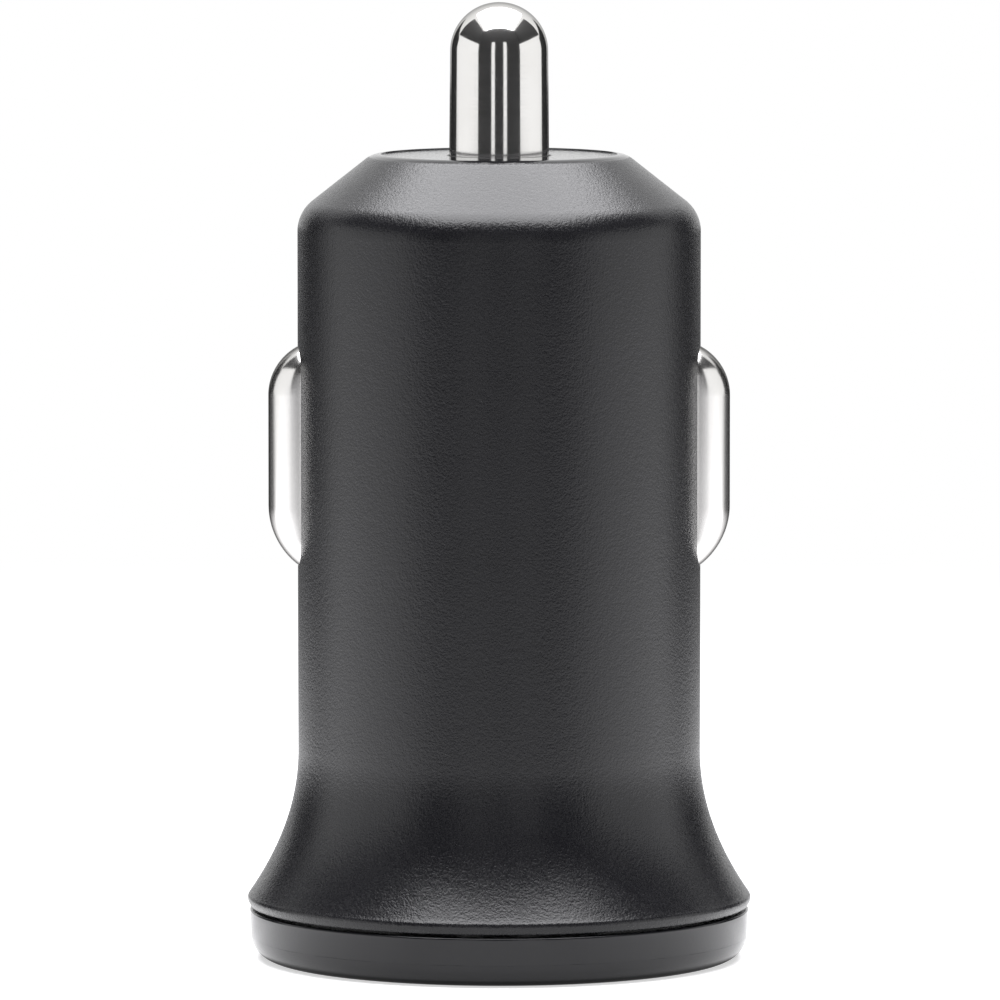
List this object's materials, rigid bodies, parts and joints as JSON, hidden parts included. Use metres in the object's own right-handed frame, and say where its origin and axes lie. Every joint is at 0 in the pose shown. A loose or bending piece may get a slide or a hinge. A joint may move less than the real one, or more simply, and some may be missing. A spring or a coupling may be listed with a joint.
{
  "type": "car usb charger plug",
  "caption": "Round plug for a 12 V car socket, with a flared face holding a USB-A socket, a sprung centre pin and sprung side contacts.",
  "frame": {"origin": "centre of the flat face that the plug stands on", "axes": "+Z along the plug towards the tip of the centre contact, X through the two side contacts"},
  "size_m": [0.025, 0.025, 0.0476],
  "materials": {
    "housing_plastic": "fine spark-eroded texture",
    "cap_plastic": "fine satin",
    "pin_nickel": "polished nickel plate",
    "contact_nickel": "bright nickel plate",
    "spring_steel": "drawn wire and strip",
    "brass": "bright",
    "board": "solder mask",
    "socket_steel": "tin plated",
    "socket_plastic": "moulded",
    "gilt_contacts": "gold flash",
    "chip_plastic": "moulded",
    "ferrite": "ground ferrite",
    "copper": "enamelled wire",
    "can_aluminium": "drawn can",
    "chip_ceramic": "fired ceramic"
  },
  "bodies": {
    "plug": {"housing": "housing_plastic", "face_cap": "cap_plastic", "centre_spring": "spring_steel", "ground_spring_left": "spring_steel", "ground_spring_right": "spring_steel", "positive_terminal": "brass", "circuit_board": "board", "usb_shell": "socket_steel", "usb_insulator": "socket_plastic", "usb_contacts": "gilt_contacts", "converter_chip": "chip_plastic", "rectifier_diode": "chip_plastic", "inductor_core": "ferrite", "inductor_coil": "copper", "input_capacitor": "can_aluminium", "output_capacitor": "can_aluminium", "input_fuse": "chip_ceramic", "chip_capacitors": "chip_ceramic", "chip_resistors": "chip_ceramic"},
    "centre_contact": {"centre_contact": "pin_nickel"},
    "left_contact": {"ground_contact_left": "contact_nickel"},
    "right_contact": {"ground_contact_right": "contact_nickel"}
  },
  "joints": [
    {"name": "centre_contact_slide", "type": "slide", "parent": "plug", "child": "centre_contact", "axis": [0, 0, -1], "range_m": [0, 0.0025], "stiffness_N_per_m": 1000, "springref_m": -0.003, "deforming": ["centre_spring"]},
    {"name": "left_contact_slide", "type": "slide", "parent": "plug", "child": "left_contact", "axis": [1, 0, 0], "range_m": [0, 0.00145], "stiffness_N_per_m": 1500, "springref_m": -0.001, "deforming": ["ground_spring_left"]},
    {"name": "right_contact_slide", "type": "slide", "parent": "plug", "child": "right_contact", "axis": [-1, 0, 0], "range_m": [0, 0.00145], "stiffness_N_per_m": 1500, "springref_m": -0.001, "deforming": ["ground_spring_right"]}
  ]
}
